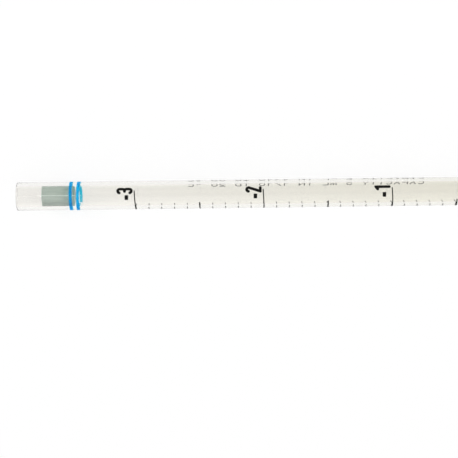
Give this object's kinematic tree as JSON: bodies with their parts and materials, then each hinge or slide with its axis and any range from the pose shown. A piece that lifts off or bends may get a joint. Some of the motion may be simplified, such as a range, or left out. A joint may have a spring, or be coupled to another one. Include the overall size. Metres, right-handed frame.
{
  "type": "graduated pipette",
  "caption": "Straight clear plastic serological pipette with a drawn tip, plugged mouth end, printed volume scale and two colour bands.",
  "frame": {"origin": "centre of the tip's open end, on the axis", "axes": "+X along the axis from the tip to the mouth end, +Z towards the side that carries the reserve numerals, +Y towards the side where the ends of the short lines start"},
  "size_m": [0.3406, 0.008, 0.008],
  "materials": {
    "clear_polystyrene": "clear gloss",
    "plug_fibre": "fibrous, matte",
    "blue_ink": "printed",
    "black_ink": "printed"
  },
  "bodies": {
    "root": {"tip": "clear_polystyrene", "barrel": "clear_polystyrene", "mouthpiece": "clear_polystyrene", "filter_plug": "plug_fibre", "colour_band_upper": "blue_ink", "colour_band_lower": "blue_ink", "scale_long_lines": "black_ink", "scale_mid_lines": "black_ink", "scale_short_lines": "black_ink", "reserve_long_lines": "black_ink", "reserve_mid_lines": "black_ink", "reserve_short_lines": "black_ink", "scale_numerals": "black_ink", "reserve_numerals": "black_ink", "rising_numerals": "black_ink", "inscription": "black_ink"}
  },
  "joints": []
}
